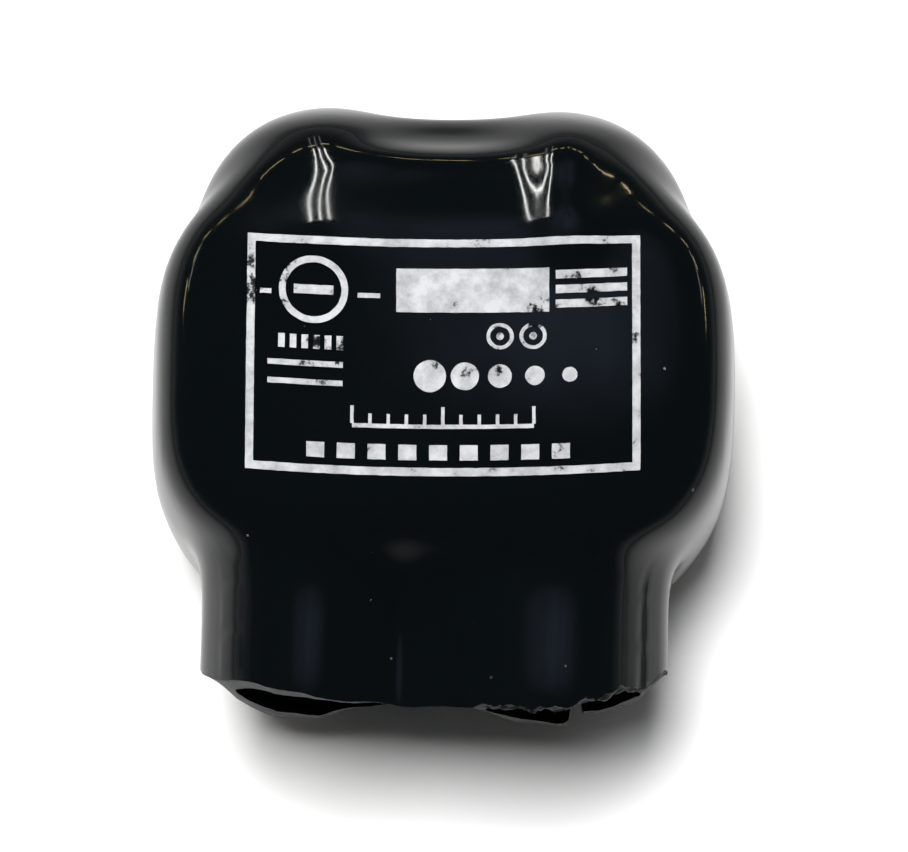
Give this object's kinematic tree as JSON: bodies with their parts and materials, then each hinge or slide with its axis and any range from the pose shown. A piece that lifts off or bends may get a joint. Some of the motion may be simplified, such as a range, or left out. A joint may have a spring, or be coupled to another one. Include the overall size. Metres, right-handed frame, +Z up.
{
  "type": "insulated tap connector",
  "caption": "Dip-coated multi-tap wire connector with side-by-side ports in soft sleeves, set screws under pull-out plugs on the underside.",
  "frame": {"origin": "centre of the footprint, on the surface that the connector lies on", "axes": "+Z up, out of the printed face; +Y along the wires as they go in, from the open sleeves to the closed tips; +X to the right, across the ports"},
  "size_m": [0.0318, 0.0341, 0.0265],
  "materials": {
    "vinyl": "glossy dipped vinyl",
    "block": "sawn and drilled extrusion",
    "screw": "plated, turned",
    "plug": "satin moulded"
  },
  "bodies": {
    "housing": {"insulating_jacket": "vinyl", "terminal_block": "block"},
    "screw_left": {"set_screw_left": "screw"},
    "screw_right": {"set_screw_right": "screw"},
    "plug_left": {"access_plug_left": "plug"},
    "plug_right": {"access_plug_right": "plug"}
  },
  "joints": [
    {"name": "left_screw_drive", "type": "slide", "parent": "housing", "child": "screw_left", "axis": [0, 0, 1], "range_m": [0, 0.0053]},
    {"name": "right_screw_drive", "type": "slide", "parent": "housing", "child": "screw_right", "axis": [0, 0, 1], "range_m": [0, 0.0053]},
    {"name": "left_plug_pull", "type": "slide", "parent": "housing", "child": "plug_left", "axis": [0, 0, -1], "range_m": [0, 0.012]},
    {"name": "right_plug_pull", "type": "slide", "parent": "housing", "child": "plug_right", "axis": [0, 0, -1], "range_m": [0, 0.012]}
  ]
}
